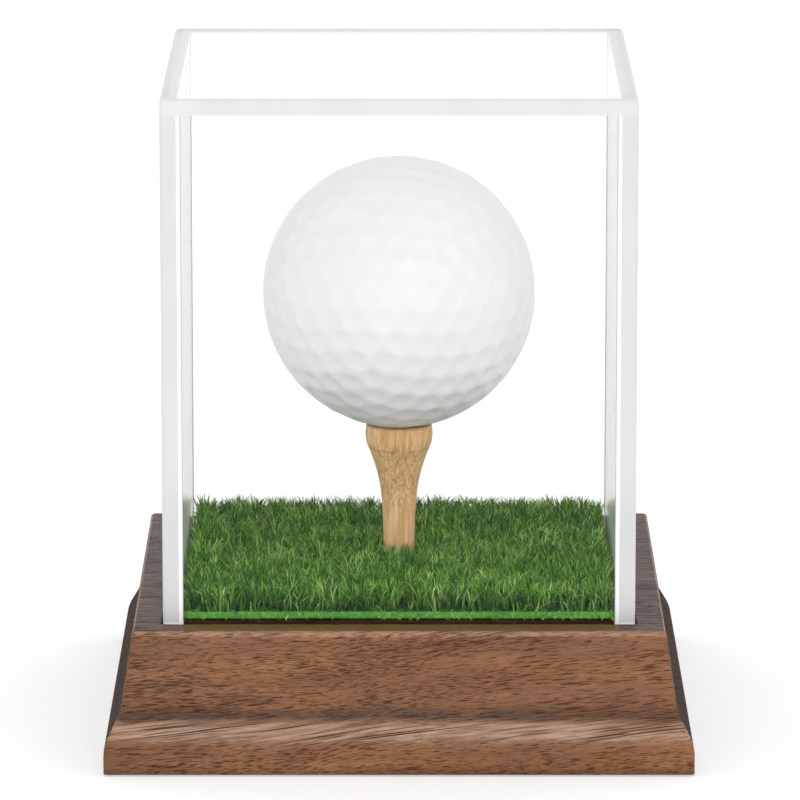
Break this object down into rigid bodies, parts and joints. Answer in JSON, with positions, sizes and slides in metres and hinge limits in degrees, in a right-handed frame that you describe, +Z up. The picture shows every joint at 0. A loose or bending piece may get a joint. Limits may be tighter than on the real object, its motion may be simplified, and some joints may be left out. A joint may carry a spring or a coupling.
{
  "type": "golf ball display case",
  "caption": "Square moulded walnut base with a turf mat and a wooden tee holding a golf ball, under a lift-off clear acrylic cover.",
  "frame": {"origin": "middle of the underside, where the felt rests", "axes": "+Z up, -Y towards the front, +X to the right"},
  "size_m": [0.09, 0.09, 0.1029],
  "materials": {
    "walnut": "satin oiled walnut, fine open grain",
    "felt": "pressed felt",
    "adhesive": "double-sided sheet",
    "turf_backing": "woven plastic backing",
    "turf_pile": "short plastic pile",
    "tee_wood": "bare turned wood with flecks",
    "ball_white": "satin white with shallow dimples",
    "ball_core": "moulded rubber",
    "clear_acrylic": "clear polished sheet"
  },
  "bodies": {
    "base": {"walnut_base": "walnut", "base_felt": "felt", "turf_adhesive": "adhesive", "turf_backing": "turf_backing", "turf_pile": "turf_pile", "golf_tee": "tee_wood"},
    "ball": {"golf_ball_cover": "ball_white", "golf_ball_core": "ball_core"},
    "cover": {"cover_top": "clear_acrylic", "cover_front": "clear_acrylic", "cover_back": "clear_acrylic", "cover_left": "clear_acrylic", "cover_right": "clear_acrylic"}
  },
  "joints": [
    {"name": "cover_lift", "type": "slide", "parent": "base", "child": "cover", "axis": [0, 0, 1], "range_m": [0, 0.12]},
    {"name": "ball_lift", "type": "slide", "parent": "base", "child": "ball", "axis": [0, 0, 1], "range_m": [0, 0.0118]}
  ]
}
